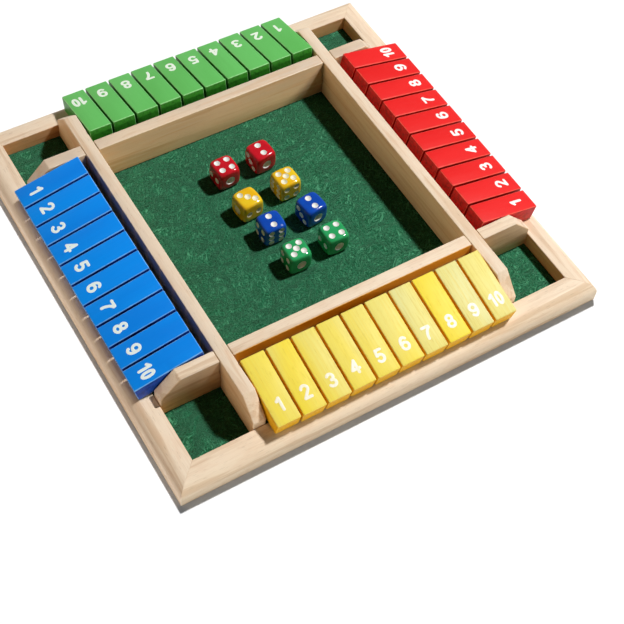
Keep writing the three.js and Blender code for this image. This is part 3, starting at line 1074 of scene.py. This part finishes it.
def add_dice(plastics, pips):
    """Eight dice, all cut from one drawing. Returns them."""
    low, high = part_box("die_red_a")
    half = (high.z - low.z) / 2
    shell = die_shell(half)
    shell.materials.append(plastics["red"])
    master = smoothed(carved(shell, pip_tools(half, pips["red"])), degrees=35)
    dice = []
    for index, (node, faces) in enumerate(DIE_FACES.items()):
        colour = node.split("_")[1]
        low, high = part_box(node)
        upright = Matrix.Rotation(die_yaw(node), 4, "Z") @ die_turn(faces)
        die = add_piece(f"{node}_cube", master.copy(), Matrix.Translation((low + high) / 2) @ upright, node,
                        [plastics[colour], pips[colour]], (node,),
                        seed=DIE_SEED + index)
        dice.append(die)
    return dice


# Stage

def add_floor():
    """A pale floor with a faint glow for the camera, so that it renders white"""
    look = Look("stage_floor")
    place = look.node("ShaderNodeTexCoord").outputs["Object"]
    speckle = look.noise(look.scaled(place, (30, 30, 30)), detail=2)
    look.shader(Base_Color=look.mix(speckle, (0.8, 0.8, 0.8), (0.84, 0.84, 0.84)), Roughness=0.95)
    rays = look.node("ShaderNodeLightPath").outputs
    look.shader(Emission_Strength=look.times(rays["Is Camera Ray"], FLOOR_GLOW))
    look.shader(Emission_Color=FLOOR_GLOW_COLOUR)
    corners = [(x * FLOOR_REACH, y * FLOOR_REACH, 0) for x, y in ((-1, -1), (1, -1), (1, 1), (-1, 1))]
    floor = placed("floor", mesh_from("floor", corners, [(0, 1, 2, 3)]))
    floor.data.materials.append(look.material)
    return floor


def add_surround():
    """A white surround that is grey in reflections, darker overhead, and dim as a light"""
    world = bpy.data.worlds.new("surround")
    bpy.context.scene.world = world
    graph = Graph(world)
    rays = graph.node("ShaderNodeLightPath").outputs
    _, _, up = graph.parts(graph.node("ShaderNodeTexCoord").outputs["Generated"])
    reflected = graph.span(up, 0.05, 0.4, REFLECTED_LEVEL, REFLECTED_OVERHEAD)
    mirrored = graph.math("MAXIMUM", rays["Is Glossy Ray"], rays["Is Transmission Ray"])
    level = graph.math("MAXIMUM", graph.times(mirrored, reflected), AMBIENT)
    background = world.node_tree.nodes["Background"]
    graph.feed(background.inputs["Strength"], graph.math("MAXIMUM", rays["Is Camera Ray"], level))
    seen = graph.math("MAXIMUM", rays["Is Camera Ray"], mirrored)
    graph.feed(background.inputs["Color"], graph.mix(seen, AMBIENT_COLOUR, (1.0, 1.0, 1.0)))


def linked_pieces(name, pieces, state):
    """A collection for light linking that includes or excludes these pieces"""
    collection = bpy.data.collections.new(name)
    for piece in pieces:
        collection.objects.link(piece)
    for entry in collection.collection_objects:
        entry.light_linking.link_state = state
    return collection


def add_lamp(name, data, place, state, linked, shadowless=()):
    """Puts a lamp at its place, turned to the tray. It lights only the linked pieces (INCLUDE) or all but
    those (EXCLUDE), and the shadowless ones cast no shadow in its light."""
    lamp = placed(name, data)
    lamp.location = place
    lamp.rotation_euler = Vector(place).to_track_quat("Z", "Y").to_euler()
    lamp.light_linking.receiver_collection = linked_pieces(f"{name}_receivers", linked, state)
    if shadowless:
        lamp.light_linking.blocker_collection = linked_pieces(f"{name}_blockers", shadowless, "EXCLUDE")


def add_sun(name, towards, energy, softness, colour, state, linked, shadowless):
    """A distant soft lamp"""
    data = bpy.data.lights.new(name, "SUN")
    data.energy = energy
    data.angle = math.radians(softness)
    data.color = colour
    add_lamp(name, data, towards, state, linked, shadowless)


def add_key(place, level, size, colour, floor):
    """A round soft lamp two metres away, as bright at the tray as a distant lamp of the same level"""
    data = bpy.data.lights.new("key", "AREA")
    data.shape = "DISK"
    data.size = size
    data.color = colour
    data.energy = level * math.pi * Vector(place).length_squared
    add_lamp("key", data, place, "EXCLUDE", [floor])


def add_stage(felt, dice, tiles, front_divider):
    """A pale floor that takes the shadow, a pale surround and soft studio lamps"""
    floor = add_floor()
    add_surround()
    add_key(*KEY, floor)
    low_in_tray = [floor, felt, *dice]
    for name, fill in FILLS.items():
        unlit = [*low_in_tray, front_divider] if name == "front_fill" else low_in_tray
        add_sun(name, *fill, "EXCLUDE", unlit, shadowless=dice)
    add_sun("floor_lamp", *FLOOR_LAMP, "INCLUDE", [floor], shadowless=tiles)


def tile_looks(joint):
    """The paint or stain of the tiles, by colour"""
    low, high = extent(node_points("tile_red_1", tile_frame("tile_red_1", joint).inverted()))
    half_sizes = tuple((high - low) / 2 / MM)
    looks = {colour: tile_paint(f"{colour}_tile_paint", half_sizes, *paint)
             for colour, paint in TILE_PAINTS.items()}
    return {**looks, "yellow": stained_yellow("yellow_tile_paint", half_sizes)}


def main():
    make_camera()
    bpy.context.scene.view_settings.view_transform = "Standard"
    joints = {j["name"]: j for j in frame["joints"]}
    add_rails()
    dividers = add_dividers()
    add_rods(drawn_steel())
    add_base()
    felt = add_felt(green_felt())
    numbers = {tile: number_paint(f"number_on_{tile}", *paint) for tile, paint in NUMBER_PAINTS.items()}
    tiles = add_tiles(tile_looks(joints["flip_red_1"]), numbers, joints)
    plastics = {colour: dice_plastic(f"{colour}_dice_plastic", *tones)
                for colour, tones in DICE_PLASTICS.items()}
    paints = {tone: pip_paint(f"pip_{tone}", *paint) for tone, paint in PIP_PAINTS.items()}
    pips = {colour: paints["cream" if colour == "yellow" else "white"] for colour in DICE_PLASTICS}
    dice = add_dice(plastics, pips)
    add_stage(felt, dice, tiles, dividers["front"])


main()
